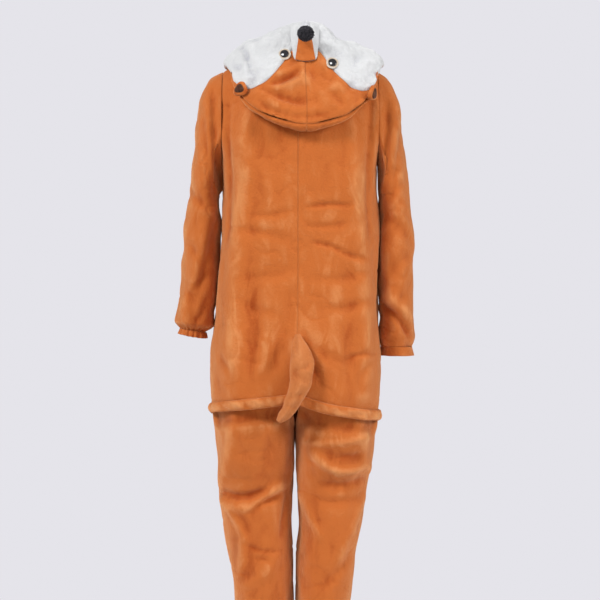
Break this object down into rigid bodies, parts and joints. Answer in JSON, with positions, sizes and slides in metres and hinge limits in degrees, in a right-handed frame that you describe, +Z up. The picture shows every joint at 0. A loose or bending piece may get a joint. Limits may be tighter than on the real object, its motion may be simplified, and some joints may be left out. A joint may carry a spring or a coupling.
{
  "type": "fox onesie",
  "caption": "Hooded all-in-one plush costume in its worn shape, with a fox face on the turned-down hood, long sleeves and legs, a stuffed tail and a buttoned front.",
  "frame": {"origin": "between the shoulders, level with the sides of the neck, where the wearer's shoulders hold the garment up", "axes": "+Z up; the front faces -Y and the back with its hood and tail faces +Y; the wearer's left is +X"},
  "size_m": [0.5528, 0.3459, 1.44],
  "materials": {
    "plush_orange": "short-pile plush with a soft sheen",
    "plush_white": "short-pile plush, white",
    "plush_black": "fuzzy black plush",
    "plush_brown": "short-pile plush, dark brown",
    "eye_ring": "felt",
    "pupil": "gloss",
    "button": "gloss"
  },
  "bodies": {
    "root": {"front_panel_left": "plush_orange", "front_panel_right": "plush_orange", "back_panel_left": "plush_orange", "back_panel_right": "plush_orange", "seat_and_leg_left": "plush_orange", "seat_and_leg_right": "plush_orange", "flap_hem_left": "plush_orange", "flap_hem_right": "plush_orange", "sleeve_left": "plush_orange", "sleeve_right": "plush_orange", "cuff_left": "plush_orange", "cuff_right": "plush_orange", "leg_cuff_left": "plush_orange", "leg_cuff_right": "plush_orange", "tail": "plush_orange", "placket": "plush_orange", "button_1": "button", "button_2": "button", "button_3": "button", "button_4": "button", "button_5": "button", "button_6": "button", "hood_back_left": "plush_orange", "hood_back_right": "plush_orange", "hood_crown_left": "plush_orange", "hood_crown_right": "plush_orange", "hood_cheek_left": "plush_white", "hood_cheek_right": "plush_white", "snout": "plush_white", "muzzle_stripe": "plush_orange", "nose": "plush_black", "eye_ring_left": "eye_ring", "eye_ring_right": "eye_ring", "pupil_left": "pupil", "pupil_right": "pupil", "ear_left": "plush_orange", "ear_right": "plush_orange", "inner_ear_left": "plush_brown", "inner_ear_right": "plush_brown"}
  },
  "joints": []
}
